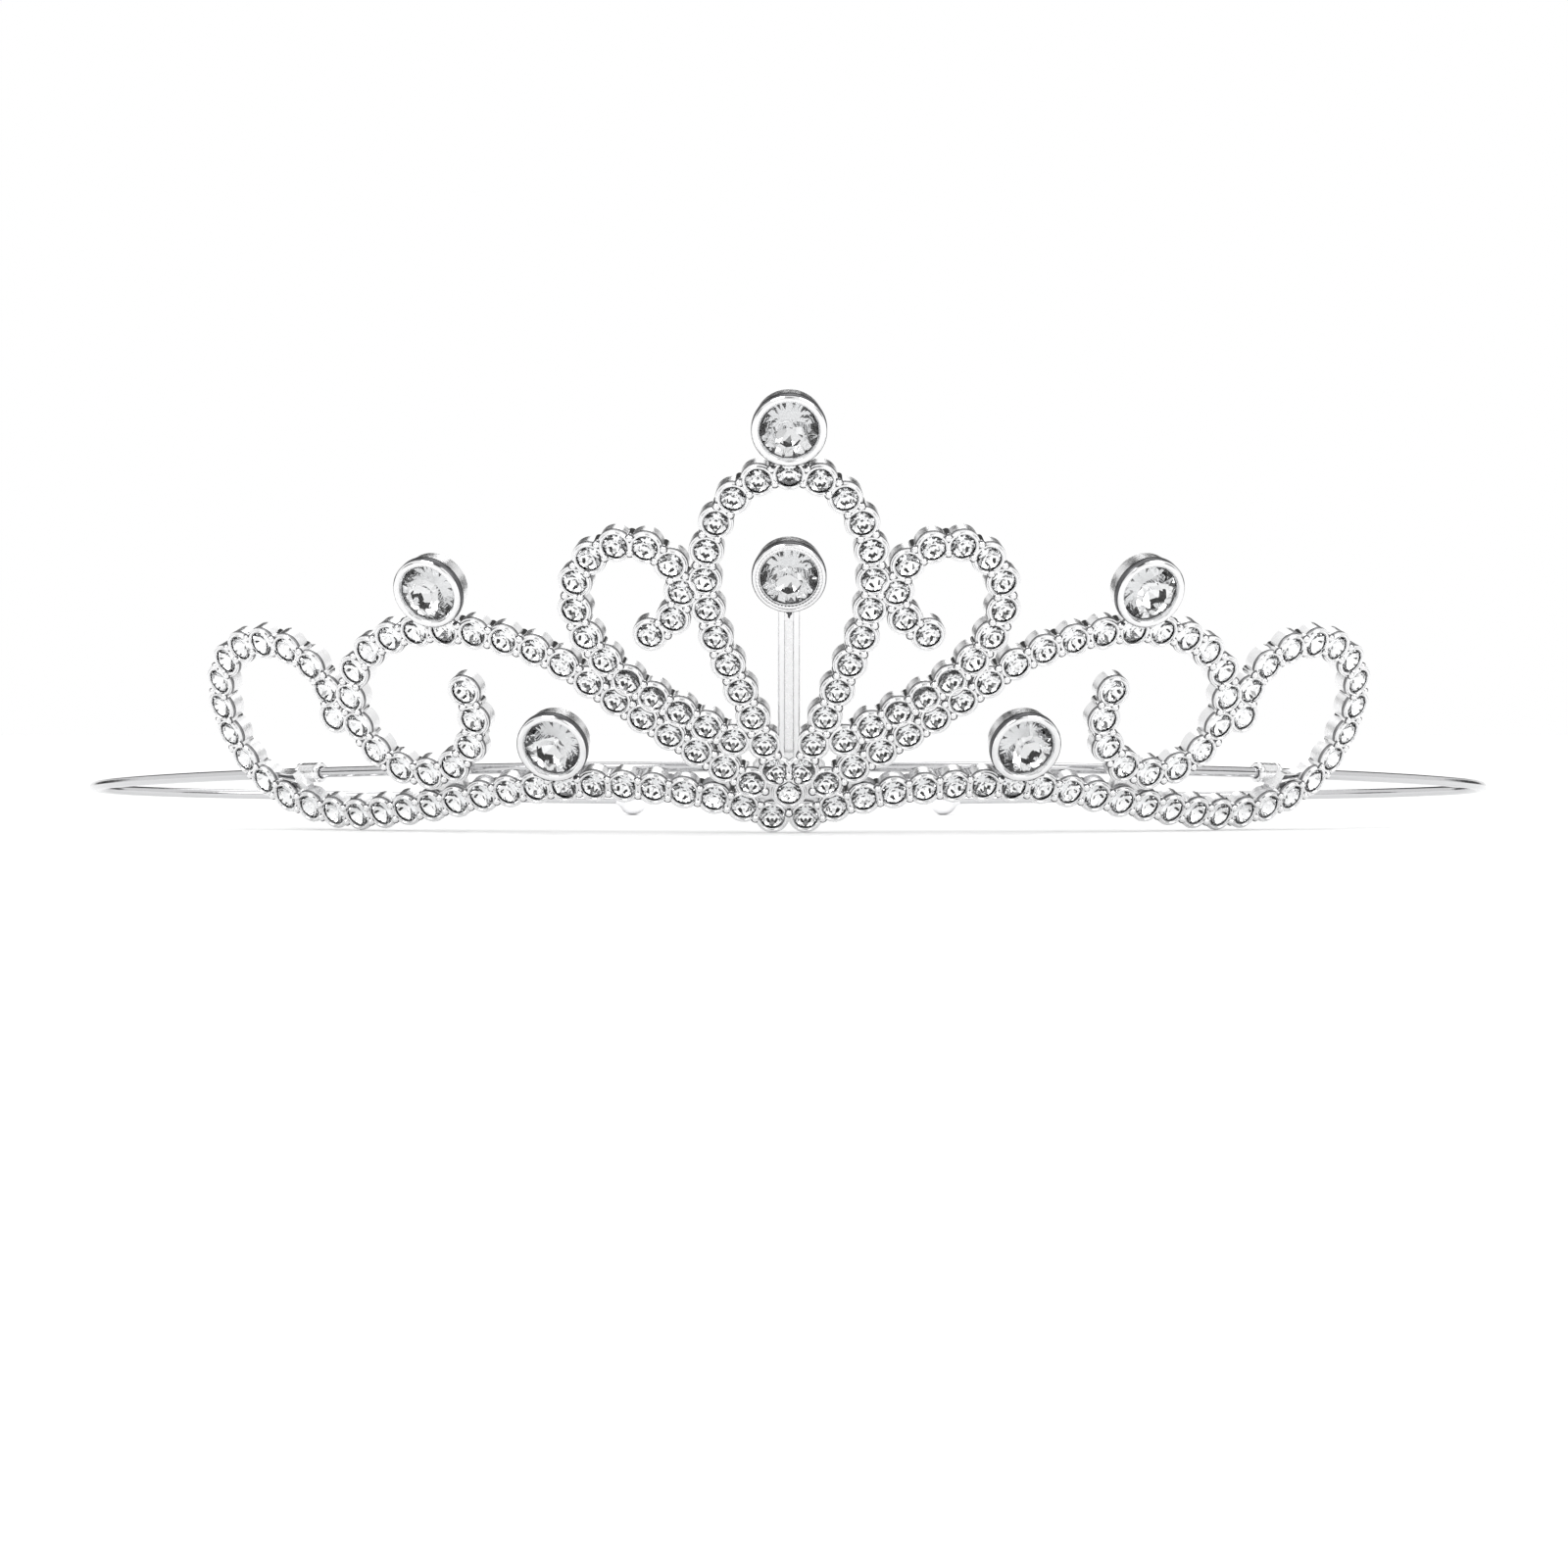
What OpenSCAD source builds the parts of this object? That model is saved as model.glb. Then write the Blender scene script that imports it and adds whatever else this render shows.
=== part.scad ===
// Princess crown headband: a cast openwork crown set with cut stones, on a round wire band.
// Millimetres. The crown's face is part of an upright cone that flares outward. X runs to
// the right as seen from the front, Y to the back, Z up, and the origin is on the surface
// that it rests on. Left and right are the viewer's.

/* [Crown] */
// Radius of the crown's face at its foot
crown_r = 86; // [82:1:92]
// Flare of the face from upright, in degrees
flare = 25; // [22:1:27]
// Depth of the cast strands, front to back
strand_t = 1.7; // [1.5:0.1:2.2]
// Thickness of the flat webs behind the cups
web_t = 1.1; // [0.8:0.1:1.4]

/* [Small stones] */
// Width of a small stone at its girdle
stone_d = 2.45; // [2.2:0.05:2.45]
// Outer width of its cup
cup_d = 3.5; // [3.46:0.02:3.54]
// Depth of its cup's seat
seat_depth = 1.25; // [1.1:0.05:1.3]
// Width across the strand of the bar under the two small claws between two cups
claw_w = 2.1; // [1.9:0.1:2.2]
// Length of the bar along the strand
claw_l = 0.5; // [0.4:0.1:0.6]

/* [Large stones] */
// Width of a large stone at its girdle
gem_d = 6; // [5.6:0.1:6.1]
// Outer width of its round bezel
bezel_d = 7.4; // [7.2:0.1:7.6]
// Height of the bezel, front to back
bezel_h = 2.7; // [2.6:0.1:2.9]
// How far the bezel stands in front of the strands
bezel_rise = 0.9; // [0.7:0.1:1]

/* [Stem] */
// Width of the flat stem under the centre stone
stem_w = 2.3; // [2:0.1:2.6]
// Thickness of the stem
stem_t = 1.4; // [1.2:0.1:1.6]
// Width of the groove down its face
groove_w = 0.9; // [0.7:0.1:1]

/* [Band] */
// Thickness of the round wire
wire_d = 1.1; // [1:0.05:1.2]
// Height of the wire behind the middle of the crown
wire_z = 6.8; // [6.6:0.1:7]
// Width of the ball on each tip
ball_d = 3.8; // [3.6:0.1:3.9]
// Outer width of the eyes that hold the wire
eye_d = 2.1; // [2:0.1:2.4]
// Gap between pieces that fit into each other
fit_gap = 0.05; // [0.04:0.01:0.06]

/* [Hidden] */
$fn = 72;

// The face unrolled flat: x to the right, y up the slope, origin at the foot of the middle.
unrolled_r = crown_r / sin(flare);

// Each strand is a chain of arcs in the unrolled face.
// Columns of a row: length in mm, turn to the left in degrees.
LENGTH = 0;
TURN = 1;
base_rows = [[9.5, -18], [22, -27], [14, 3], [10.5, 27], [5.5, 32], [7, 39], [15.5, 105], [10, 87]];
scroll_rows = [[21.5, 2], [3.5, -13], [13.5, -33], [9, -42], [15, -117], [15.5, -128]];
heart_rows = [[9.5, 0], [9, 28], [6, 45], [9, 88], [13, 150]];
arch_rows = [[6, -48], [8, -38], [10, -28], [14, 3]];
// Columns of a strand: rows, start x, start y, heading at the start, number of stones.
ROWS = 0;
START_X = 1;
START_Y = 2;
HEADING = 3;
COUNT = 4;
base = [base_rows, 1.7, 1.8, 24, 31];
scroll = [scroll_rows, 3.8, 5.55, 31, 25];
heart = [heart_rows, 5.6, 10.25, 28.5, 16];
arch = [arch_rows, 0, 39.25, 0, 13];
hub_y = 4.55;
// The hub's cup stands a hair proud of the ones round it
hub_lift = 0.04;

// Centres of the large stones in the unrolled face
gem_top_at = [0, 44.1];
gem_centre_at = [0, 28.55];
gem_upper_at = [37, 24.1];
gem_lower_at = [24.2, 8.5];

// The wire's route seen from above, from the middle of the front, in the same columns
wire_rows = [[70, 47], [22, 14], [12, 17], [15, 43], [14, 26], [16, 9], [36, 4]];
wire_y = -0.4;
// Place of the eyes along the wire, from the middle, and their length
eye_along = 54;
eye_l = 2.8;
// Extra width of the hole in an eye, so that the wire's bend passes through
bend_room = 0.04;
// Stations of the base strand that the eye's web springs from, and its depth in the strand
web_low = 17.2;
web_high = 20.3;
web_in = 0.7;
// How far in front of the wire's middle the web meets the eye
web_ahead = 1.3;
// How far the web's low and high sides are hollowed
low_hollow = 0.3;
high_hollow = 1;
// Depth of the hole in a ball
ball_hole = 1.3;
// How far the thinner pieces stay in front of the back of the strands
bar_back = 0.1;
stem_back = 0.15;
hub_back = 0.25;
// How far the claws' bars stay behind the front of the strands
bar_front = 0.1;
// How far two pieces run into each other where they join
overlap = 1;

// The point and heading after a distance along a chain of arcs: [x, y, heading]
function after(row, s, x, y, h) =
    let(turned = row[TURN] * s / row[LENGTH])
    turned == 0
        ? [x + s * cos(h), y + s * sin(h), h]
        : let(r = s / turned * 180 / PI)
          [x + r * (sin(h + turned) - sin(h)), y + r * (cos(h) - cos(h + turned)), h + turned];
function walk(rows, s, x, y, h, i = 0) =
    s <= rows[i][LENGTH] || i == len(rows) - 1
        ? after(rows[i], s, x, y, h)
        : let(p = after(rows[i], rows[i][LENGTH], x, y, h))
          walk(rows, s - rows[i][LENGTH], p[0], p[1], p[2], i + 1);
function total(rows, i = 0) = i == len(rows) ? 0 : rows[i][LENGTH] + total(rows, i + 1);
// The place of a strand's stone number i, which may be a fraction
function station(strand, i) =
    walk(strand[ROWS], total(strand[ROWS]) * i / (strand[COUNT] - 1),
        strand[START_X], strand[START_Y], strand[HEADING]);

// From the unrolled face to the cone: azimuth round its axis, radius and height
function azimuth(p) = atan2(p[0], p[1] + unrolled_r) / sin(flare);
function slant(p) = norm([p[0], p[1] + unrolled_r]);
// A point of the face in space, pushed outward by out
function face_point(p, out = 0) =
    let(a = azimuth(p), r = slant(p) * sin(flare) + out * cos(flare))
    [r * sin(a), crown_r - r * cos(a), (slant(p) - unrolled_r) * cos(flare) - out * sin(flare)];

// The wire's plane slopes down from the crown until the balls rest on the surface
wire_end = walk(wire_rows, total(wire_rows), 0, 0, 0);
ball_out = ball_d / 2 - ball_hole + fit_gap;
ball_y = wire_end[1] + ball_out * sin(wire_end[2]);
wire_drop = asin((wire_z - ball_d / 2) / ball_y);
function wire_point(s) =
    let(p = walk(wire_rows, s, 0, 0, 0))
    [p[0], wire_y + p[1] * cos(wire_drop), wire_z - p[1] * sin(wire_drop)];

// Radius of the bezels' round lip, taper of their wall and thickness of their floor
lip_r = 0.5;
bezel_taper = 0.3;
bezel_floor = 0.3;

// The whole is moved so that the origin is under the middle of its length, front to back
front = face_point(gem_top_at, bezel_rise - lip_r)[1] - (bezel_d / 2 - lip_r) * sin(flare) - lip_r;
back = wire_y + ball_y * cos(wire_drop) + ball_d / 2;
middle_y = -(front + back) / 2;

// Puts its children on the face, with Z outward and X along the heading
module on_face(p, heading = 0) {
    translate([0, middle_y + crown_r, 0])
        rotate([0, 0, azimuth(p)])
            translate([0, -slant(p) * sin(flare), (slant(p) - unrolled_r) * cos(flare)])
                rotate([90 + flare, 0, 0])
                    rotate([0, 0, heading + atan2(p[0], p[1] + unrolled_r)])
                        children();
}

// Puts its children in the band's plane, with the origin behind the crown's middle
module in_band() {
    translate([0, middle_y + wire_y, wire_z])
        rotate([-wire_drop, 0, 0])
            children();
}

module right_and_left() {
    children();
    mirror([1, 0, 0])
        children();
}

// A rigid frame from its origin, its X direction and its Z direction
module in_frame(o, x, z) {
    y = cross(z, x);
    multmatrix([
        [x[0], y[0], z[0], o[0]],
        [x[1], y[1], z[1], o[1]],
        [x[2], y[2], z[2], o[2]],
        [0, 0, 0, 1]])
        children();
}

module cup() {
    translate([0, 0, -strand_t])
        cylinder(d = cup_d, h = strand_t);
}

module seat() {
    translate([0, 0, -seat_depth])
        cylinder(d = stone_d + 2 * fit_gap, h = seat_depth + overlap);
}

module claw_bar() {
    translate([-claw_l / 2, -claw_w / 2, -strand_t + bar_back])
        cube([claw_l, claw_w, strand_t - bar_back - bar_front]);
}

module strand_cups(strand, first = 0) {
    for (i = [first : strand[COUNT] - 1])
        on_face(station(strand, i), station(strand, i)[2])
            cup();
    for (i = [first : strand[COUNT] - 2])
        on_face(station(strand, i + 0.5), station(strand, i + 0.5)[2])
            claw_bar();
}

module strand_seats(strand, first = 0) {
    for (i = [first : strand[COUNT] - 1])
        on_face(station(strand, i))
            seat();
}

// A smooth ring with a round lip on a slightly tapered wall
module bezel() {
    wall = bezel_d / 2 - lip_r;
    translate([0, 0, bezel_rise - bezel_h])
        rotate_extrude()
            polygon(concat([[0, 0], [bezel_d / 2 - bezel_taper, 0]],
                [for (a = [0 : 15 : 90]) [wall + lip_r * cos(a), bezel_h - lip_r + lip_r * sin(a)]],
                [[0, bezel_h]]));
}

module bezel_seat() {
    translate([0, 0, bezel_rise - bezel_h + bezel_floor])
        cylinder(d = gem_d + 2 * fit_gap, h = bezel_h + overlap);
}

// Right half of the hub web's outline round the hub's stone, from the top down: x, y
hub_outline = [[2.2, 4.6], [4.9, 1.2], [6.2, -1.6], [1.7, -3.4]];
module hub_web() {
    on_face([0, hub_y])
        translate([0, 0, -strand_t + hub_back])
            linear_extrude(web_t)
                polygon(concat(hub_outline,
                    [for (i = [len(hub_outline) - 1 : -1 : 0]) [-hub_outline[i][0], hub_outline[i][1]]]));
}

// The stem and its groove run straight up the middle of the face
stem_from = hub_y + 3;
stem_in = 0.5;
stem_l = gem_centre_at[1] - bezel_d / 2 + stem_in - stem_from;
groove_depth = 0.35;
groove_from = 1.4;
groove_to = stem_l - 1.8;
module stem() {
    on_face([0, stem_from])
        translate([-stem_w / 2, 0, -strand_t + stem_back])
            cube([stem_w, stem_l, stem_t]);
}

module stem_groove() {
    on_face([0, stem_from])
        translate([-groove_w / 2, groove_from, -strand_t + stem_back + stem_t - groove_depth])
            cube([groove_w, groove_to - groove_from, groove_depth + overlap]);
}

// A short flat bridge from the scroll's low turn to the base strand
bridge_at = [36.6, 1.9];
bridge_heading = -20;
bridge_l = 4.4;
bridge_w = 3.2;
module bridge() {
    on_face(bridge_at, bridge_heading)
        translate([-bridge_l / 2, -bridge_w / 2, -strand_t + bar_back])
            cube([bridge_l, bridge_w, web_t]);
}

// A disc that hollows the straight edge from a to b by depth, on its right side
module hollow(a, b, depth) {
    chord = norm(b - a);
    r = chord * chord / (8 * depth) + depth / 2;
    aside = [b[1] - a[1], a[0] - b[0]] / chord;
    translate((a + b) / 2 + aside * (r - depth))
        circle(r = r);
}

// The holder behind the outer loop: a web with two hollow sides, and an eye on the wire
module wire_holder() {
    low = face_point(station(base, web_low), -strand_t + web_in);
    high = face_point(station(base, web_high), -strand_t + web_in);
    middle = station(base, (web_low + web_high) / 2);
    eye = wire_point(eye_along) + face_point(middle, web_ahead) - face_point(middle);
    span = norm(high - low);
    along = (high - low) / span;
    across = cross(along, eye - low);
    reach = norm(across);
    foot = (eye - low) * along;
    translate([0, middle_y, 0])
        in_frame(low, along, across / reach)
            translate([0, 0, -web_t / 2])
                linear_extrude(web_t)
                    difference() {
                        polygon([[-overlap, 0], [span + overlap, 0],
                            [foot + eye_d / 2, reach], [foot - eye_d / 2, reach]]);
                        hollow([foot - eye_d / 2, reach], [-overlap, 0], low_hollow);
                        hollow([span + overlap, 0], [foot + eye_d / 2, reach], high_hollow);
                    }
    in_band()
        at_wire(eye_along)
            rotate([0, 90, 0])
                cylinder(d = eye_d, h = eye_l, center = true);
}

module wire_hole() {
    in_band()
        at_wire(eye_along)
            rotate([0, 90, 0])
                cylinder(d = wire_d + 2 * fit_gap + bend_room, h = eye_l + 4 * overlap, center = true);
}

// Puts its children on the wire's route, with X along it
module at_wire(s) {
    p = walk(wire_rows, s, 0, 0, 0);
    translate([p[0], p[1], 0])
        rotate([0, 0, p[2]])
            children();
}

module crown_frame() {
    color("silver")
        difference() {
            union() {
                right_and_left() {
                    strand_cups(base);
                    strand_cups(scroll);
                    strand_cups(heart);
                    strand_cups(arch, 1);
                    on_face(gem_upper_at)
                        bezel();
                    on_face(gem_lower_at)
                        bezel();
                    bridge();
                    wire_holder();
                }
                on_face(station(arch, 0))
                    cup();
                right_and_left()
                    on_face(station(arch, 0.5), station(arch, 0.5)[2])
                        claw_bar();
                on_face([0, hub_y])
                    translate([0, 0, hub_lift])
                        cup();
                on_face(gem_top_at)
                    bezel();
                on_face(gem_centre_at)
                    bezel();
                hub_web();
                stem();
            }
            right_and_left() {
                strand_seats(base);
                strand_seats(scroll);
                strand_seats(heart);
                strand_seats(arch, 1);
                on_face(gem_upper_at)
                    bezel_seat();
                on_face(gem_lower_at)
                    bezel_seat();
                wire_hole();
            }
            on_face(station(arch, 0))
                seat();
            on_face([0, hub_y])
                seat();
            on_face(gem_top_at)
                bezel_seat();
            on_face(gem_centre_at)
                bezel_seat();
            stem_groove();
        }
}

// The wire is one round tube swept along its route, from the left tip to the right one
wire_steps = 74;
wire_sides = 18;
module headband_wire() {
    step = total(wire_rows) / wire_steps;
    rings = 2 * wire_steps + 1;
    color("lightgray")
        in_band()
            polyhedron(
                points = [for (k = [-wire_steps : wire_steps])
                    let(p = walk(wire_rows, abs(k) * step, 0, 0, 0), side = k < 0 ? -1 : 1)
                    for (i = [0 : wire_sides - 1])
                        let(a = 360 * i / wire_sides, out = wire_d / 2 * cos(a))
                        [side * (p[0] + out * sin(p[2])), p[1] - out * cos(p[2]), wire_d / 2 * sin(a)]],
                faces = concat(
                    [[for (i = [wire_sides - 1 : -1 : 0]) i]],
                    [for (k = [0 : rings - 2]) for (i = [0 : wire_sides - 1])
                        let(n = k * wire_sides, j = (i + 1) % wire_sides)
                        [n + j, n + wire_sides + j, n + wire_sides + i, n + i]],
                    [[for (i = [0 : wire_sides - 1]) (rings - 1) * wire_sides + i]]));
}

module tip_ball() {
    color("silver")
        in_band()
            at_wire(total(wire_rows))
                translate([ball_out, 0, 0])
                    difference() {
                        sphere(d = ball_d);
                        translate([-ball_d, 0, 0])
                            rotate([0, 90, 0])
                                cylinder(d = wire_d + 2 * fit_gap, h = ball_d / 2 + ball_hole);
                    }
}

module tip_ball_right() {
    tip_ball();
}

module tip_ball_left() {
    mirror([1, 0, 0])
        tip_ball();
}

// Corners of one level of a stone
function level(sides, r, z, from = 0) =
    [for (i = [0 : sides - 1]) [r * cos(from + 360 * i / sides), r * sin(from + 360 * i / sides), z]];

// Share of a stone's width that its table takes
table_share = 0.5;

// A small stone: an octagonal table, sixteen facets round it and a pointed back
module small_stone() {
    table_z = 0.3;
    girdle_z = -0.1;
    point_z = -seat_depth + 3 * fit_gap;
    polyhedron(
        points = concat(level(8, table_share * stone_d / 2, table_z, 22.5), level(8, stone_d / 2, girdle_z),
            [[0, 0, point_z]]),
        faces = concat(
            [[for (i = [7 : -1 : 0]) i]],
            [for (i = [0 : 7]) [i, 8 + i, (i + 7) % 8]],
            [for (i = [0 : 7]) [i, 8 + (i + 1) % 8, 8 + i]],
            [for (i = [0 : 7]) [8 + i, 8 + (i + 1) % 8, 16]]));
}

// A large stone: an octagonal table, twenty-four facets round it, a thin girdle and a pointed back
module large_stone() {
    table_z = bezel_rise + 0.6;
    girdle_z = bezel_rise - 0.6;
    girdle_t = 0.1;
    point_z = bezel_rise - bezel_h + bezel_floor + fit_gap;
    polyhedron(
        points = concat(level(8, table_share * gem_d / 2, table_z, 22.5), level(16, gem_d / 2, girdle_z),
            level(16, gem_d / 2, girdle_z - girdle_t), [[0, 0, point_z]]),
        faces = concat(
            [[for (i = [7 : -1 : 0]) i]],
            [for (i = [0 : 7]) [i, 8 + (2 * i + 2) % 16, 9 + 2 * i]],
            [for (i = [0 : 7]) [i, (i + 1) % 8, 8 + (2 * i + 2) % 16]],
            [for (i = [0 : 7]) [(i + 1) % 8, 8 + (2 * i + 3) % 16, 8 + (2 * i + 2) % 16]],
            [for (i = [0 : 15]) [8 + i, 8 + (i + 1) % 16, 24 + (i + 1) % 16, 24 + i]],
            [for (i = [0 : 15]) [24 + i, 24 + (i + 1) % 16, 40]]));
}

module gem(p) {
    color("white")
        on_face(p)
            large_stone();
}

module strand_stones(strand, first = 0) {
    color("white")
        for (i = [first : strand[COUNT] - 1])
            on_face(station(strand, i), station(strand, i)[2])
                small_stone();
}

module stones_arch() {
    right_and_left()
        strand_stones(arch, 1);
    color("white") {
        on_face(station(arch, 0))
            small_stone();
        on_face([0, hub_y])
            small_stone();
    }
}

crown_frame();
headband_wire();
tip_ball_left();
tip_ball_right();
gem(gem_top_at);  // gem_top
gem(gem_centre_at);  // gem_centre
mirror([1, 0, 0]) gem(gem_upper_at);  // gem_upper_left
gem(gem_upper_at);  // gem_upper_right
mirror([1, 0, 0]) gem(gem_lower_at);  // gem_lower_left
gem(gem_lower_at);  // gem_lower_right
stones_arch();
mirror([1, 0, 0]) strand_stones(heart);  // stones_heart_left
strand_stones(heart);  // stones_heart_right
mirror([1, 0, 0]) strand_stones(scroll);  // stones_scroll_left
strand_stones(scroll);  // stones_scroll_right
mirror([1, 0, 0]) strand_stones(base);  // stones_base_left
strand_stones(base);  // stones_base_right
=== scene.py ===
"""Princess crown headband: the finish, the stones, the rims and claws, and a plain pale studio.

Lengths are in millimetres until a mesh is made; the meshes and the camera's places are in metres.
"""

import math

import bpy
from mathutils import Matrix, Vector


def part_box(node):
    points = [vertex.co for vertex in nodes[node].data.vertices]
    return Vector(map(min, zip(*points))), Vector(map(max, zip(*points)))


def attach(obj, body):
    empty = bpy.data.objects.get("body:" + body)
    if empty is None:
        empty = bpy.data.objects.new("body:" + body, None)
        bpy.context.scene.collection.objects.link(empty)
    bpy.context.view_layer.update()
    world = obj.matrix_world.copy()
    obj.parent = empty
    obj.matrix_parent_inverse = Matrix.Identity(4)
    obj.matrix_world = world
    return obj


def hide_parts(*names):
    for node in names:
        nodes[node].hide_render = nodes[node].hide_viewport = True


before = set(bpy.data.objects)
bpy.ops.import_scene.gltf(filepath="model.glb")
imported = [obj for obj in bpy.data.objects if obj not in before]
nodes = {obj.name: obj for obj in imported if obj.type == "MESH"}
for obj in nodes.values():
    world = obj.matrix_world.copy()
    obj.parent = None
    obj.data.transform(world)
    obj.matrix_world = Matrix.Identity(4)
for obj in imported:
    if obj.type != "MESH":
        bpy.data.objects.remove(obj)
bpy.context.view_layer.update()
MM = 0.001

# The crown's face is part of an upright cone, unrolled flat: x to the right, y up the slope
CROWN_R = 86.0
FLARE = math.radians(25)
UNROLLED_R = CROWN_R / math.sin(FLARE)

# Each strand is a chain of arcs: (length, turn to the left in degrees)
BASE_ROWS = [(9.5, -18), (22, -27), (14, 3), (10.5, 27), (5.5, 32), (7, 39), (15.5, 105), (10, 87)]
SCROLL_ROWS = [(21.5, 2), (3.5, -13), (13.5, -33), (9, -42), (15, -117), (15.5, -128)]
HEART_ROWS = [(9.5, 0), (9, 28), (6, 45), (9, 88), (13, 150)]
ARCH_ROWS = [(6, -48), (8, -38), (10, -28), (14, 3)]
# Heights of the two small stones on the middle line, the one on the arch's top and the hub's
ARCH_Y = 39.25
HUB_Y = 4.55
# Each strand's right half: rows, start x and y, heading at the start in degrees, number of stones
STRANDS = {
    "base": (BASE_ROWS, 1.7, 1.8, 24, 31),
    "scroll": (SCROLL_ROWS, 3.8, 5.55, 31, 25),
    "heart": (HEART_ROWS, 5.6, 10.25, 28.5, 16),
    "arch": (ARCH_ROWS, 0, ARCH_Y, 0, 13),
}
STONE_D = 2.45
STRAND_T = 1.7

# Large stones: place in the unrolled face
GEMS = {
    "gem_top": (0, 44.1),
    "gem_centre": (0, 28.55),
    "gem_upper_right": (37, 24.1),
    "gem_lower_right": (24.2, 8.5),
    "gem_upper_left": (-37, 24.1),
    "gem_lower_left": (-24.2, 8.5),
}
GEM_D = 6.0
BEZEL_D = 7.4
BEZEL_RISE = 0.9

# The wire, seen from above, from the middle of the front: (length, turn to the left in degrees)
WIRE_ROWS = [(70, 47), (22, 14), (12, 17), (15, 43), (14, 26), (16, 9), (36, 4)]
WIRE_D = 1.1
WIRE_Y = -0.4
WIRE_Z = 6.8
EYE_ALONG = 54
BALL_D = 3.8
BALL_HOLE = 1.3
FIT_GAP = 0.05
# How far a ball's middle lies past the end of the wire
BALL_OUT = BALL_D / 2 - BALL_HOLE + FIT_GAP


def walk(rows, s, x=0.0, y=0.0, heading=0.0):
    """The point and heading, in radians, at distance s along a chain of arcs."""
    for i, (length, bend) in enumerate(rows):
        part = s if i == len(rows) - 1 else min(s, length)
        turned = math.radians(bend) * part / length
        if abs(turned) < 1e-9:
            x += part * math.cos(heading)
            y += part * math.sin(heading)
        else:
            r = part / turned
            x += r * (math.sin(heading + turned) - math.sin(heading))
            y += r * (math.cos(heading) - math.cos(heading + turned))
        heading += turned
        s -= part
        if s <= 1e-9:
            break
    return x, y, heading


def total(rows):
    return sum(length for length, bend in rows)


def turn(angle, axis):
    return Matrix.Rotation(angle, 4, axis)


def shift(x, y, z):
    return Matrix.Translation((x, y, z))


WIRE_END = walk(WIRE_ROWS, total(WIRE_ROWS))
BALL_Y = WIRE_END[1] + BALL_OUT * math.sin(WIRE_END[2])
WIRE_DROP = math.asin((WIRE_Z - BALL_D / 2) / BALL_Y)
# Where the crown's foot stands in the frame, from the ball at the back
BALL_BACK = WIRE_Y + BALL_Y * math.cos(WIRE_DROP) + BALL_D / 2
FOOT_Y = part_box("tip_ball_right")[1].y / MM - BALL_BACK


def on_face(x, y, heading=0.0):
    """The frame at a point of the unrolled face: Z outward, X along the heading."""
    psi = math.atan2(x, y + UNROLLED_R)
    slant = math.hypot(x, y + UNROLLED_R)
    return (
        shift(0, FOOT_Y + CROWN_R, 0)
        @ turn(psi / math.sin(FLARE), "Z")
        @ shift(0, -slant * math.sin(FLARE), (slant - UNROLLED_R) * math.cos(FLARE))
        @ turn(math.pi / 2 + FLARE, "X")
        @ turn(heading + psi, "Z")
    )


def at_wire(s):
    """The frame at distance s along the wire's right half: X along it, Z up."""
    x, y, heading = walk(WIRE_ROWS, s)
    return shift(0, FOOT_Y + WIRE_Y, WIRE_Z) @ turn(-WIRE_DROP, "X") @ shift(x, y, 0) @ turn(heading, "Z")


FLIP = Matrix.Diagonal((-1, 1, 1, 1))


def mirrored(place):
    """The same frame on the other side, kept right-handed."""
    return FLIP @ place @ FLIP


def on_side(side, place):
    return place if side == "right" else mirrored(place)


def station(name, i):
    """The place in the face and the heading of a strand's stone number i, which may be a fraction."""
    rows, x, y, heading, count = STRANDS[name]
    return walk(rows, total(rows) * i / (count - 1), x, y, math.radians(heading))


def stones_of(name, side):
    """The frames of a half strand's stones, less the arch's top one, which both its halves would hold."""
    rows, x, y, heading, count = STRANDS[name]
    first = 1 if name == "arch" else 0
    return [on_side(side, on_face(*station(name, i))) for i in range(first, count)]


def gaps_of(name, side):
    """The frames halfway between each two stones of a half strand."""
    rows, x, y, heading, count = STRANDS[name]
    return [on_side(side, on_face(*station(name, i + 0.5))) for i in range(count - 1)]


def middle_stones():
    return [on_face(0, y) for y in (ARCH_Y, HUB_Y)]


class Shape:
    """Vertices and faces, gathered in millimetres and made into one object."""

    def __init__(self):
        self.points = []
        self.faces = []
        self.slots = []

    def add(self, part, place=Matrix(), slot=None):
        """A part is its points, its faces and each face's material slot, which a given slot overrules."""
        points, faces, slots = part
        first = len(self.points)
        self.points += [place @ Vector(p) for p in points]
        # A place that mirrors turns the faces inside out, so they are run backwards
        step = -1 if place.determinant() < 0 else 1
        self.faces += [[first + i for i in face][::step] for face in faces]
        self.slots += slots if slot is None else [slot] * len(faces)

    def make(self, name, materials, replaces=(), smooth=True):
        mesh = bpy.data.meshes.new(name)
        mesh.from_pydata([p * MM for p in self.points], [], self.faces)
        for material in materials:
            mesh.materials.append(material)
        for polygon, index in zip(mesh.polygons, self.slots):
            polygon.material_index = index
            polygon.use_smooth = smooth
        mesh.update()
        piece = bpy.data.objects.new(name, mesh)
        bpy.context.scene.collection.objects.link(piece)
        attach(piece, "root")
        if replaces:
            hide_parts(*replaces)


# Parts: each function gives points, faces and the faces' slots

# Slots of the metal pieces and of the stones; the metal's dark and grey slots are painted shade, and the
# stones' third slot is painted shade and reflection
BRIGHT, DARK, GREY_SHADE = 0, 1, 2
GLASS, FOIL, STONE_SHADE = 0, 1, 2


def level(count, r, z, from_angle=0.0):
    """Points evenly round a circle at height z."""
    angles = [from_angle + 2 * math.pi * i / count for i in range(count)]
    return [(r * math.cos(a), r * math.sin(a), z) for a in angles]


def skin(a, b, sides):
    """The faces between two circles of points, whose first points have the numbers a and b."""
    return [[a + k, a + (k + 1) % sides, b + (k + 1) % sides, b + k] for k in range(sides)]


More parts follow.
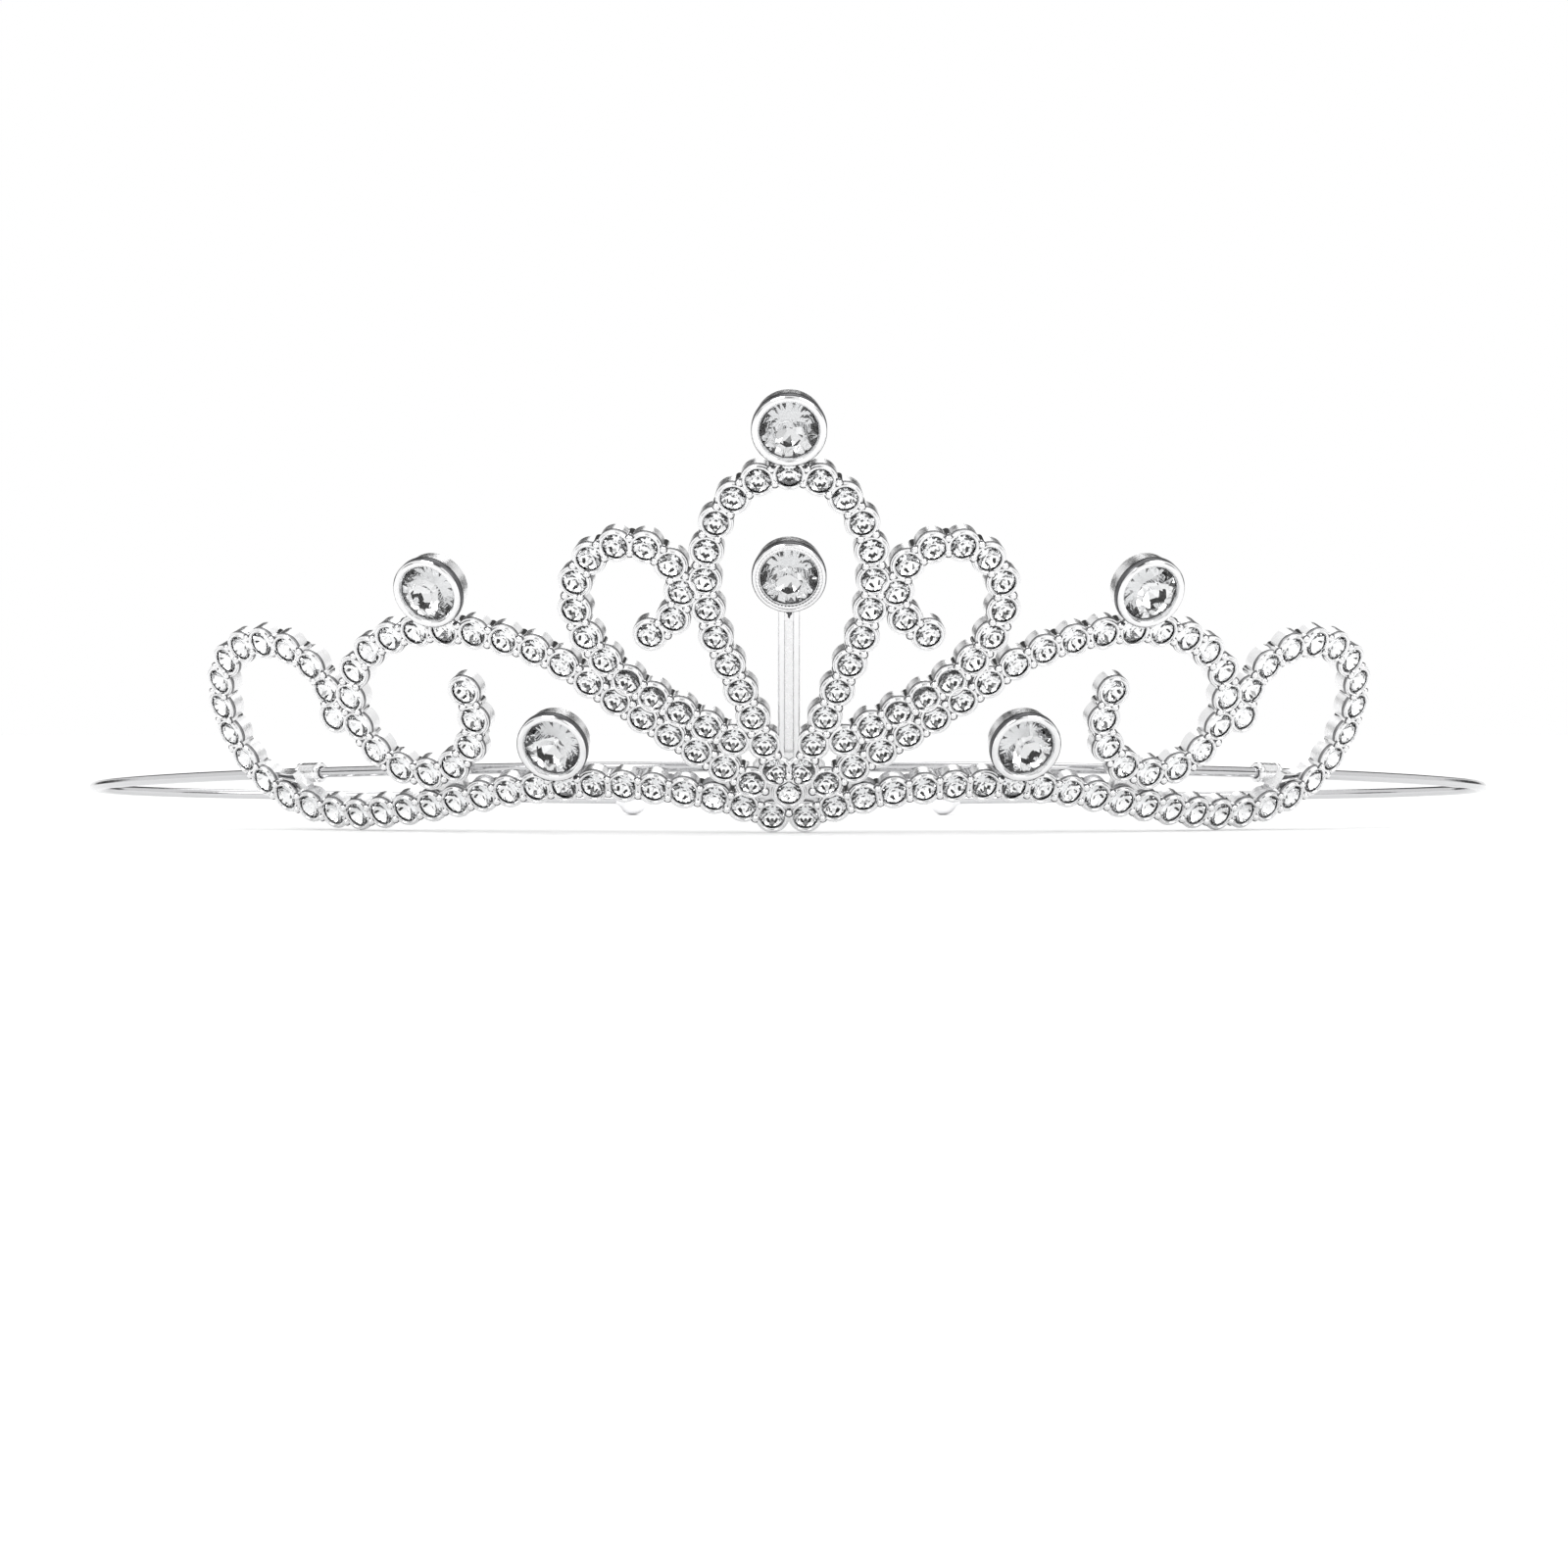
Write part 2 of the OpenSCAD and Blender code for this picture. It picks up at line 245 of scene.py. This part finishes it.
def ring(profile, sides, dark=(), grey_shade=()):
    """A closed profile of (radius, height) points turned round Z; the last two arguments number its
    stretches of dark and of grey painted shade.
    """
    points, faces, slots = [], [], []
    for i, (r, z) in enumerate(profile):
        points += level(sides, r, z)
        faces += skin(i * sides, (i + 1) % len(profile) * sides, sides)
        slots += [DARK if i in dark else GREY_SHADE if i in grey_shade else BRIGHT] * sides
    return points, faces, slots


def tube(circles, dark=()):
    """A skin over a row of circles of points, with both ends closed; dark numbers its stretches of dark
    painted shade.
    """
    sides = len(circles[0])
    last = (len(circles) - 1) * sides
    faces = [list(reversed(range(sides))), list(range(last, last + sides))]
    slots = [BRIGHT, BRIGHT]
    for j in range(len(circles) - 1):
        faces += skin(j * sides, (j + 1) * sides, sides)
        slots += [DARK if j in dark else BRIGHT] * sides
    return sum(circles, []), faces, slots


def lathe(profile, sides, dark=()):
    """An open profile of (radius, height) points turned round Z."""
    return tube([level(sides, r, z) for r, z in profile], dark)


# A dome stops short of its pole by this share of a quarter turn, and ends in a tiny flat
DOME_FLAT = 0.04


def dome(radius, steps):
    """The profile of a half ball from its rim up."""
    angles = [math.pi / 2 * (1 - DOME_FLAT) * j / steps for j in range(steps + 1)]
    return [(radius * math.cos(a), radius * math.sin(a)) for a in angles]


def rod(radius, length, steps, sides):
    """A rod up Z from 0 to its length, with round ends."""
    end = dome(radius, steps)
    foot = [(r, radius - z) for r, z in reversed(end)]
    return lathe(foot + [(r, length - radius + z) for r, z in end], sides)


def slab(outline, thickness):
    """A flat outline, run anticlockwise, made into a plate with its middle at height 0."""
    n = len(outline)
    points = [(x, y, z) for z in (-thickness / 2, thickness / 2) for x, y in outline]
    faces = [list(reversed(range(n))), list(range(n, 2 * n))] + skin(0, n, n)
    return points, faces, [BRIGHT] * len(faces)


def between(a, b, share):
    return tuple(p + (q - p) * share for p, q in zip(a, b))


# How far a long spike's foot reaches along the stone's edge, as a share of a facet
SPIKE_FOOT = 0.2


def brilliant(d, table_z, girdle_z, girdle_t, point_z, table, deep, paint, long_spike, short_spike):
    """A cut stone: a table, eight main facets and sixteen between, over a foiled back.

    table and deep are shares of the stone's radius. Dark painted shade and reflection runs round the edge
    of the back and in along its ridges, in spikes; paint, long_spike and short_spike say how far in, as
    shares of the way.
    """
    r = d / 2
    half_step = math.pi / 8
    back_z = girdle_z - girdle_t
    low_z = back_z + (point_z - back_z) * (1 - deep * math.cos(half_step))
    edge = level(16, r, back_z)
    low = level(8, deep * r, low_z)
    tip = (0, 0, point_z)
    points = level(8, table * r, table_z, half_step) + level(16, r, girdle_z) + edge
    upper, lower = 8, 24
    faces = [list(range(8))]
    for i in range(8):
        n = (i + 1) % 8
        corner, middle, next_corner = [upper + (2 * i + k) % 16 for k in (1, 2, 3)]
        faces += [[i, corner, middle], [i, middle, n], [n, middle, next_corner]]
    # The girdle's band is dark painted shade
    slots = [GLASS] * len(faces) + [STONE_SHADE] * 16
    faces += skin(lower, upper, 16)

    def back(corners, slot):
        first = len(points)
        points.extend(corners)
        faces.append([first + k for k in range(len(corners))])
        slots.append(slot)

    # The back's edge and ridges get dark painted shade and reflection in spikes; the rest is foil
    for i in range(8):
        n = (i + 1) % 8
        ridge, main, next_ridge = edge[2 * i], edge[2 * i + 1], edge[(2 * i + 2) % 16]
        for at, beside, sign in ((ridge, low[i], 1), (next_ridge, low[n], -1)):
            inner = between(main, beside, paint)
            shoulder = between(between(at, main, SPIKE_FOOT), beside, paint)
            spike = between(at, beside, long_spike)
            back([at, spike, shoulder, inner, main][::sign], STONE_SHADE)
            back([spike, beside, inner, shoulder][::sign], FOIL)
        left, right = between(main, low[i], paint), between(main, low[n], paint)
        spike = between(main, tip, short_spike)
        back([main, left, spike, right], STONE_SHADE)
        back([left, low[i], tip, low[n], right, spike], FOIL)
    return points, faces, slots


# Materials


def new_material(name):
    material = bpy.data.materials.new(name)
    material.use_nodes = True
    tree = material.node_tree
    return material, tree, tree.nodes["Principled BSDF"]


def noise(tree, grain, detail):
    """Fine noise over the piece, as an output."""
    place = tree.nodes.new("ShaderNodeTexCoord")
    wear = tree.nodes.new("ShaderNodeTexNoise")
    wear.inputs["Scale"].default_value = grain
    wear.inputs["Detail"].default_value = detail
    tree.links.new(place.outputs["Object"], wear.inputs["Vector"])
    return wear.outputs["Fac"]


# The noise's detail, and between which of its values the gloss changes
METAL_WEAR = (4.0, 0.35, 0.7)
STONE_WEAR = (3.0, 0.4, 0.75)


def uneven_gloss(tree, shader, low, high, grain, wear=STONE_WEAR):
    """A polish that varies a little from place to place."""
    detail, start, end = wear
    spread = tree.nodes.new("ShaderNodeMapRange")
    spread.inputs["From Min"].default_value = start
    spread.inputs["From Max"].default_value = end
    spread.inputs["To Min"].default_value = low
    spread.inputs["To Max"].default_value = high
    tree.links.new(noise(tree, grain, detail), spread.inputs["Value"])
    tree.links.new(spread.outputs["Result"], shader.inputs["Roughness"])


WAVES_PER_GRAIN = 2.2
WAVE_DETAIL = 3.0


def silver(name, colour, rough_low, rough_high, grain, wave_height):
    """Bright plated metal with uneven polish and the faint waviness of its making."""
    material, tree, shader = new_material(name)
    shader.inputs["Base Color"].default_value = (*colour, 1)
    shader.inputs["Metallic"].default_value = 1.0
    uneven_gloss(tree, shader, rough_low, rough_high, grain, METAL_WEAR)
    bump = tree.nodes.new("ShaderNodeBump")
    bump.inputs["Strength"].default_value = 1.0
    bump.inputs["Distance"].default_value = wave_height * MM
    tree.links.new(noise(tree, grain * WAVES_PER_GRAIN, WAVE_DETAIL), bump.inputs["Height"])
    tree.links.new(bump.outputs["Normal"], shader.inputs["Normal"])
    return material


def clear_glass(name):
    material, tree, shader = new_material(name)
    shader.inputs["Base Color"].default_value = (1, 1, 1, 1)
    shader.inputs["IOR"].default_value = 1.56
    shader.inputs["Transmission Weight"].default_value = 1.0
    uneven_gloss(tree, shader, 0.0, 0.015, 900)
    return material


def foil(name, colour):
    """The silvered back of a stone, seen through it."""
    material, tree, shader = new_material(name)
    shader.inputs["Base Color"].default_value = (*colour, 1)
    shader.inputs["Metallic"].default_value = 1.0
    uneven_gloss(tree, shader, 0.02, 0.07, 1500)
    return material


def stone_shade_coat(name):
    """Dark painted shade and reflection round a stone's edge and along its back's ridges, over its foil."""
    material, tree, shader = new_material(name)
    shader.inputs["Base Color"].default_value = (0.05, 0.05, 0.055, 1)
    uneven_gloss(tree, shader, 0.28, 0.45, 1500)
    return material


# Metals: name, colour, least and greatest roughness, grain, height of the waves in millimetres
casting = silver("cast_silver", (0.82, 0.82, 0.825), 0.22, 0.38, 2000, 0.02)
# Painted shade: a dark silver laid where shade and dark outlines fall on the crown
shade_paint = silver("painted_shade_silver", (0.12, 0.12, 0.125), 0.3, 0.5, 1400, 0.01)
# Painted shade: a grey silver for the lighter shade on the cups' outer steps
grey_shade_paint = silver("painted_grey_shade_silver", (0.25, 0.25, 0.255), 0.3, 0.5, 1400, 0.01)
polished = silver("polished_silver", (0.84, 0.84, 0.845), 0.05, 0.14, 700, 0.006)
drawn_wire = silver("drawn_wire", (0.6, 0.6, 0.61), 0.08, 0.2, 1500, 0.006)
plated_ball = silver("plated_ball", (0.93, 0.93, 0.94), 0.02, 0.06, 500, 0.004)

glass = clear_glass("cut_glass")
backing = foil("stone_foil", (0.97, 0.975, 0.98))
large_backing = foil("large_stone_foil", (0.8, 0.805, 0.81))
# Painted shade and reflection for the stones' girdles and backs
edge_shade_paint = stone_shade_coat("painted_stone_shade")


# The object


def dress(node, material):
    """A carried-over solid keeps its shape and takes a finish."""
    mesh = nodes[node].data
    mesh.materials.clear()
    mesh.materials.append(material)


# A cup's rim: (radius, height over the strand's face), with painted shade: dark on the wall inside, grey on
# the step outside
RIM = [(1.27, -0.3), (1.28, 0.0), (1.34, 0.1), (1.41, 0.18), (1.48, 0.2), (1.56, 0.15), (1.62, 0.05),
    (1.65, -0.03), (1.77, -0.06), (1.78, -0.4)]
RIM_DARK = (0,)
RIM_GREY_SHADE = (7, 8, 9)
RIM_SIDES = 36


def cup_rims(name, places):
    """The rims of the cups at these places, as one piece."""
    rim = ring(RIM, RIM_SIDES, RIM_DARK, RIM_GREY_SHADE)
    shape = Shape()
    for place in places:
        shape.add(rim, place)
    shape.make(name, [polished, shade_paint, grey_shade_paint])


def build_rims():
    for name in STRANDS:
        for side in ("right", "left"):
            cup_rims(f"cup_rims_{name}_{side}", stones_of(name, side))


CLAW_R = 0.35
CLAW_OUT = 0.8
CLAW_TOP = 0.48
CLAW_FOOT = 0.12 - STRAND_T
CLAW_SIDES = 14
# The post is a collar round the head: how much wider, and how high over the head's widest place
COLLAR_W = 0.1
COLLAR_TOP = 0.04
# Its top is dark painted shade, and so is this much of its side
DARK_H = 0.16
POST_DARK = (1, 2)


def claw_post(radius=CLAW_R, top=CLAW_TOP):
    """A round head in the top of a thicker post, which runs down the strand's side; the post's top is dark
    painted shade.
    """
    widest = top - radius
    head = [(r, widest + z) for r, z in dome(radius, 4)]
    collar = radius + COLLAR_W
    seam = widest + COLLAR_TOP
    post = [(collar, CLAW_FOOT), (collar, seam - DARK_H), (collar, seam), (radius, seam)]
    return lathe(post + head[1:], CLAW_SIDES, POST_DARK)


def build_claws():
    """Between each two stones two small round claws, one each side of the strand."""
    claw = claw_post()
    for name in STRANDS:
        for side in ("right", "left"):
            shape = Shape()
            for place in gaps_of(name, side):
                for across in (-CLAW_OUT, CLAW_OUT):
                    shape.add(claw, place @ shift(0, across, 0))
            shape.make(f"claws_{name}_{side}", [polished, shade_paint])


# Single grains round the hub's stone: place in the unrolled face and radius
HUB_GRAINS = [(0, 6.44, 0.38), (0.95, 6.02, 0.36), (-0.95, 6.02, 0.36), (0, 2.3, 0.34)]
HUB_GRAIN_TOP = CLAW_TOP + 0.04


def build_hub_grains():
    """The hub's grains, and a claw before the first stone of each scroll."""
    shape = Shape()
    for x, y, radius in HUB_GRAINS:
        shape.add(claw_post(radius, HUB_GRAIN_TOP), on_face(x, y))
    x, y, heading = station("scroll", -0.5)
    for side in ("right", "left"):
        shape.add(claw_post(), on_side(side, on_face(x, y)))
    shape.make("grains_hub", [polished, shade_paint])


SMALL_STONE = dict(d=STONE_D, table_z=0.4, girdle_z=-0.16, girdle_t=0.06, point_z=-0.85,
    table=0.5, deep=0.45, paint=0.06, long_spike=0.55, short_spike=0.35)


def cut_stones(name, places):
    """The small stones at these places, as one piece that stands for the node of that name."""
    stone = brilliant(**SMALL_STONE)
    shape = Shape()
    for place in places:
        shape.add(stone, place)
    shape.make(f"cut_{name}", [glass, backing, edge_shade_paint], [name], smooth=False)


def build_stones():
    """One string for each half strand, and one for the whole arch and the hub."""
    for name in ("base", "scroll", "heart"):
        for side in ("left", "right"):
            cut_stones(f"stones_{name}_{side}", stones_of(name, side))
    arch = stones_of("arch", "right") + stones_of("arch", "left")
    cut_stones("stones_arch", arch + middle_stones())


LARGE_STONE = dict(d=GEM_D, table_z=BEZEL_RISE + 0.75, girdle_z=BEZEL_RISE - 0.48, girdle_t=0.08,
    point_z=BEZEL_RISE - 2.36, table=0.46, deep=0.35, paint=0.12, long_spike=0.7, short_spike=0.5)
# How far each large stone is turned in its bezel, in degrees
GEM_TURNS = {"gem_top": 11, "gem_centre": 17, "gem_upper_right": 6, "gem_lower_right": 17,
    "gem_upper_left": 14, "gem_lower_left": 3}


def build_gem(name):
    shape = Shape()
    place = on_face(*GEMS[name]) @ turn(math.radians(GEM_TURNS[name]), "Z")
    shape.add(brilliant(**LARGE_STONE), place)
    shape.make(f"cut_{name}", [glass, large_backing, edge_shade_paint], [name], smooth=False)


# A bezel's lip over its edge: (radius, height) points, and the stretches that are dark with painted shade
LIP = [(2.9, -0.75), (2.91, -0.28), (2.97, -0.1), (3.1, 0.06), (3.3, 0.12), (3.5, 0.06), (3.62, -0.06),
    (3.66, -0.14), (3.72, -0.18), (3.73, -0.9), (3.6, -1.0)]
LIP_DARK = (7, 8, 9, 10)
# The centre stone's lip has a sunk channel for a row of beads; the channel and the lip's outer side are
# dark with painted shade
MILGRAIN_LIP = [(2.9, -0.75), (2.9, -0.2), (2.94, -0.1), (2.98, -0.12), (2.99, -0.2), (3.32, -0.2),
    (3.34, 0.02), (3.42, 0.07), (3.54, 0.04), (3.63, -0.06), (3.66, -0.14), (3.72, -0.18), (3.73, -0.9),
    (3.6, -1.0)]
MILGRAIN_DARK = (3, 4, 5, 10, 11, 12, 13)
LIP_SIDES = 72


def build_lip(name):
    profile, dark = (MILGRAIN_LIP, MILGRAIN_DARK) if name == "gem_centre" else (LIP, LIP_DARK)
    shape = Shape()
    shape.add(ring(profile, LIP_SIDES, dark), on_face(*GEMS[name]) @ shift(0, 0, BEZEL_RISE))
    shape.make(name.replace("gem", "bezel_lip"), [polished, shade_paint])


MILGRAIN_R = 0.17
MILGRAIN_COUNT = 54
MILGRAIN_OUT = 3.16
# How far the beads' middles are sunk below the bezel's edge, and where their stems end
MILGRAIN_SUNK = 0.11
MILGRAIN_FOOT = -0.5


def build_milgrain():
    """A row of tiny beads round the centre stone's bezel."""
    shape = Shape()
    head = [(r, z - MILGRAIN_SUNK) for r, z in dome(MILGRAIN_R, 3)]
    bead = lathe([(MILGRAIN_R, MILGRAIN_FOOT)] + head, 10)
    for k in range(MILGRAIN_COUNT):
        place = on_face(*GEMS["gem_centre"]) @ turn(2 * math.pi * k / MILGRAIN_COUNT, "Z")
        shape.add(bead, place @ shift(MILGRAIN_OUT, 0, BEZEL_RISE))
    shape.make("milgrain_centre", [polished])


# The height of the stem's front over the face
STEM_T = 1.4
STEM_BACK = 0.15
STEM_TOP = STEM_BACK + STEM_T - STRAND_T
# Its rails run from above the hub up into the centre bezel, sunk a little into its front
RAIL_FROM = HUB_Y + 3
RAIL_TO = GEMS["gem_centre"][1] - BEZEL_D / 2 + 0.3
RAIL_R = 0.35
RAIL_OUT = 0.74
RAIL_SUNK = 0.12
# Each rail has a dark line of painted shade outside, which is a second rod beside it and lower
LINE_OUT = RAIL_OUT + 0.05
LINE_SUNK = RAIL_SUNK + 0.16
# The pit where the stem's channel runs into the bezel: a dark plate of painted shade
PIT = [(-0.1, -0.5), (0.06, -0.62), (0.14, -0.3), (0.3, -0.12), (0.26, 0.3), (0.05, 0.42),
    (-0.22, 0.36), (-0.3, 0.02), (-0.14, -0.16)]
PIT_Y = RAIL_TO - 0.75
PIT_T = 0.3
PIT_PROUD = 0.02


def build_stem_rails():
    """Two round rails up the stem with a dark line of painted shade outside each, and a dark plate of
    painted shade for the pit at the top of the channel between them.
    """
    shape = Shape()
    rail = rod(RAIL_R, RAIL_TO - RAIL_FROM, 4, 20)
    for out, sunk, slot in ((RAIL_OUT, RAIL_SUNK, BRIGHT), (LINE_OUT, LINE_SUNK, DARK)):
        for side in (-1, 1):
            foot = on_face(0, RAIL_FROM) @ shift(side * out, 0, STEM_TOP - sunk)
            shape.add(rail, foot @ turn(-math.pi / 2, "X"), slot)
    pit_z = STEM_TOP - PIT_T / 2 + PIT_PROUD
    shape.add(slab(PIT, PIT_T), on_face(0, PIT_Y) @ shift(0, 0, pit_z), DARK)
    shape.make("stem_rails", [polished, shade_paint])


WIRE_STEPS = 150
WIRE_SIDES = 28


def build_band():
    """The wire from tip to tip, round and smooth."""
    right = [at_wire(total(WIRE_ROWS) * i / WIRE_STEPS) for i in range(WIRE_STEPS + 1)]
    left = [mirrored(place) @ turn(math.pi, "Z") for place in reversed(right[1:])]
    circle = [Vector(p) for p in level(WIRE_SIDES, WIRE_D / 2, 0)]
    across = turn(math.pi / 2, "Y")
    shape = Shape()
    shape.add(tube([[place @ across @ p for p in circle] for place in left + right]))
    shape.make("band_wire", [drawn_wire], ["headband_wire"])


# The soft lip at each end of an eye: (radius, height over the eye's end)
EYE_L = 2.8
EYE_LIP = [(0.6, -0.4), (0.6, 0.06), (0.66, 0.17), (0.8, 0.22), (0.96, 0.15), (1.06, 0.0), (1.08, -0.2),
    (1.06, -0.4)]
EYE_LIP_SIDES = 36


def build_collars():
    """Soft lips where the wire runs in and out of the eyes."""
    lip = ring(EYE_LIP, EYE_LIP_SIDES)
    for side in ("right", "left"):
        shape = Shape()
        for end in (-1, 1):
            place = at_wire(EYE_ALONG) @ shift(end * EYE_L / 2, 0, 0) @ turn(end * math.pi / 2, "Y")
            shape.add(lip, on_side(side, place))
        shape.make(f"eye_collars_{side}", [polished])


# A holder's web stands behind the base strand, between two places counted in stones
WEB_LOW = 17.2
WEB_HIGH = 20.3
WEB_T = 1.1
WEB_IN = 0.7
WEB_AHEAD = 1.3
# Dark plates of painted shade on the web's faces and the rib between them: x along the strand, y toward the
# eye
UPPER_SHADE_PLATE = [(4.0, 0.55), (4.45, 0.4), (4.1, 0.76), (3.4, 1.28), (2.8, 1.86), (2.3, 1.62)]
LOWER_SHADE_PLATE = [(1.7, 0.8), (3.7, 0.2), (1.95, 1.32)]
SHADE_PLATE_PROUD = 0.02
RIB_R = 0.14
RIB_FROM = Vector((4.0, 0.35, 0))
RIB_TO = Vector((2.05, 1.5, 0))


def web_frame():
    """The frame of the right holder's web, in its middle, at its low end on the strand."""
    low, middle, high = [on_face(*station("base", at)[:2])
        for at in (WEB_LOW, (WEB_LOW + WEB_HIGH) / 2, WEB_HIGH)]
    low, high = [place @ Vector((0, 0, WEB_IN - STRAND_T)) for place in (low, high)]
    eye = at_wire(EYE_ALONG).translation + middle.to_3x3() @ Vector((0, 0, WEB_AHEAD))
    along = (high - low).normalized()
    across = eye - low
    across = (across - along * across.dot(along)).normalized()
    place = Matrix((along, across, along.cross(across))).transposed().to_4x4()
    place.translation = low
    return place


def build_holder_faces():
    """Dark plates of painted shade on both faces of each holder's web, with a bright rib between them."""
    rib_way = RIB_TO - RIB_FROM
    rib = rod(RIB_R, rib_way.length, 3, 12)
    rib_turn = rib_way.to_track_quat("Z", "Y").to_matrix().to_4x4()
    shape = Shape()
    for web in (web_frame(), FLIP @ web_frame()):
        for outline in (UPPER_SHADE_PLATE, LOWER_SHADE_PLATE):
            shape.add(slab(outline, WEB_T + 2 * SHADE_PLATE_PROUD), web, DARK)
        for face_z in (-WEB_T / 2, WEB_T / 2):
            shape.add(rib, web @ shift(RIB_FROM.x, RIB_FROM.y, face_z) @ rib_turn)
    shape.make("holder_faces", [polished, shade_paint])


# The neck where the wire goes into a ball: (radius, height over the ball's near end)
NECK = [(0.59, -0.42), (0.62, -0.22), (0.72, -0.04)]
# Where the ball's round begins and ends, in degrees from its near end
BALL_FROM = 29
BALL_TO = 179
BALL_STEPS = 39
BALL_SIDES = 64


def build_balls():
    """A ball on each tip, with the small neck where the wire goes in."""
    r = BALL_D / 2
    profile = [(radius, out - r) for radius, out in NECK]
    for j in range(BALL_STEPS + 1):
        b = math.radians(BALL_FROM + (BALL_TO - BALL_FROM) * j / BALL_STEPS)
        profile.append((r * math.sin(b), -r * math.cos(b)))
    ball = lathe(profile, BALL_SIDES)
    place = at_wire(total(WIRE_ROWS)) @ shift(BALL_OUT, 0, 0) @ turn(math.pi / 2, "Y")
    for side in ("right", "left"):
        shape = Shape()
        shape.add(ball, on_side(side, place))
        shape.make(f"ball_{side}", [plated_ball], [f"tip_ball_{side}"])


for node in nodes:
    dress(node, casting)
cup_rims("cup_rims_middle", middle_stones())
build_hub_grains()
build_rims()
build_claws()
build_stones()
for gem in GEMS:
    build_gem(gem)
    build_lip(gem)
build_milgrain()
build_stem_rails()
build_holder_faces()
build_collars()
build_band()
build_balls()


# The studio

FLOOR_HALF = 40.0


def build_floor():
    mesh = bpy.data.meshes.new("floor")
    corners = [(x * FLOOR_HALF, y * FLOOR_HALF, 0) for x, y in ((-1, -1), (1, -1), (1, 1), (-1, 1))]
    mesh.from_pydata(corners, [], [[0, 1, 2, 3]])
    floor = bpy.data.objects.new("floor", mesh)
    bpy.context.scene.collection.objects.link(floor)
    material, tree, shader = new_material("pale_floor")
    shader.inputs["Base Color"].default_value = (0.9, 0.9, 0.9, 1)
    shader.inputs["Roughness"].default_value = 0.7
    shader.inputs["Specular IOR Level"].default_value = 0.1
    mesh.materials.append(material)


# Dark cards round the white room: direction, half width in degrees, half width where it fades out, grey
CARDS = {
    "above_the_backdrop": ((0, 0.8, 0.6), 24, 33, 0.07),
    "photographer": ((0, -1, 0.05), 6, 9, 0.1),
    "left_gap": ((-0.62, 0.76, 0.12), 9, 14, 0.08),
    "right_gap": ((0.62, 0.76, 0.12), 9, 14, 0.08),
    "left_door": ((-0.95, -0.3, 0.15), 10, 14, 0.12),
    "right_door": ((0.95, -0.3, 0.15), 10, 14, 0.12),
    "lamp_frame": ((0, -0.75, 0.66), 9, 13, 0.06),
}
ROOM_STRENGTH = 1.0


def combine(tree, operation, a, b):
    """Two outputs through one Math node."""
    both = tree.nodes.new("ShaderNodeMath")
    both.operation = operation
    tree.links.new(a, both.inputs[0])
    tree.links.new(b, both.inputs[1])
    return both.outputs["Value"]


def card_light(tree, way, direction, half, fade, grey):
    """1 all round, and a card's grey toward its direction."""
    toward = tree.nodes.new("ShaderNodeVectorMath")
    toward.operation = "DOT_PRODUCT"
    tree.links.new(way, toward.inputs[0])
    toward.inputs[1].default_value = Vector(direction).normalized()
    card = tree.nodes.new("ShaderNodeMapRange")
    card.interpolation_type = "SMOOTHSTEP"
    card.inputs["From Min"].default_value = math.cos(math.radians(fade))
    card.inputs["From Max"].default_value = math.cos(math.radians(half))
    card.inputs["To Min"].default_value = 1.0
    card.inputs["To Max"].default_value = grey
    tree.links.new(toward.outputs["Value"], card.inputs["Value"])
    return card.outputs["Result"]


def build_world():
    """A plain white room with a few dark cards for the metal and the stones to reflect."""
    world = bpy.data.worlds.new("studio")
    bpy.context.scene.world = world
    world.use_nodes = True
    tree = world.node_tree
    way = tree.nodes.new("ShaderNodeTexCoord").outputs["Generated"]
    light, *others = [card_light(tree, way, *card) for card in CARDS.values()]
    for other in others:
        light = combine(tree, "MULTIPLY", light, other)
    ray = tree.nodes.new("ShaderNodeLightPath")
    seen = combine(tree, "MAXIMUM", light, ray.outputs["Is Camera Ray"])
    background = tree.nodes["Background"]
    tree.links.new(seen, background.inputs["Color"])
    background.inputs["Strength"].default_value = ROOM_STRENGTH


# Large soft lamps: direction that the light comes from, strength, angular size in degrees
LAMPS = {
    "key_lamp": ((-0.55, -0.75, 0.95), 1.1, 28),
    "fill_lamp": ((0.75, -0.6, 0.75), 0.7, 34),
    "back_lamp": ((0.1, 0.6, 1.0), 0.5, 34),
}


def build_lamps():
    for name, (direction, strength, spread) in LAMPS.items():
        light = bpy.data.lights.new(name, "SUN")
        light.energy = strength
        light.angle = math.radians(spread)
        lamp = bpy.data.objects.new(name, light)
        lamp.location = direction
        lamp.rotation_euler = Vector(direction).to_track_quat("Z", "Y").to_euler()
        bpy.context.scene.collection.objects.link(lamp)


# The camera stands before the crown's foot, just above the floor; these are in metres
CAMERA_DISTANCE = 0.45
CAMERA_ASIDE = -0.0005
CAMERA_HEIGHT = 0.010
AIM_HEIGHT = 0.005
# The photo's width and the focal length, in its pixels, and the sensor's width
PHOTO_W = 1600
FOCAL_LENGTH = 4500
SENSOR_W = 36


def build_camera():
    data = bpy.data.cameras.new("camera")
    data.lens = SENSOR_W * FOCAL_LENGTH / PHOTO_W
    data.sensor_width = SENSOR_W
    data.clip_start = 0.01
    camera = bpy.data.objects.new("camera", data)
    camera.location = (CAMERA_ASIDE, FOOT_Y * MM - CAMERA_DISTANCE, CAMERA_HEIGHT)
    target = Vector((CAMERA_ASIDE, FOOT_Y * MM, AIM_HEIGHT))
    camera.rotation_euler = (target - camera.location).to_track_quat("-Z", "Y").to_euler()
    bpy.context.scene.collection.objects.link(camera)
    bpy.context.scene.camera = camera


build_floor()
build_world()
build_lamps()
build_camera()
bpy.context.scene.view_settings.view_transform = "Standard"
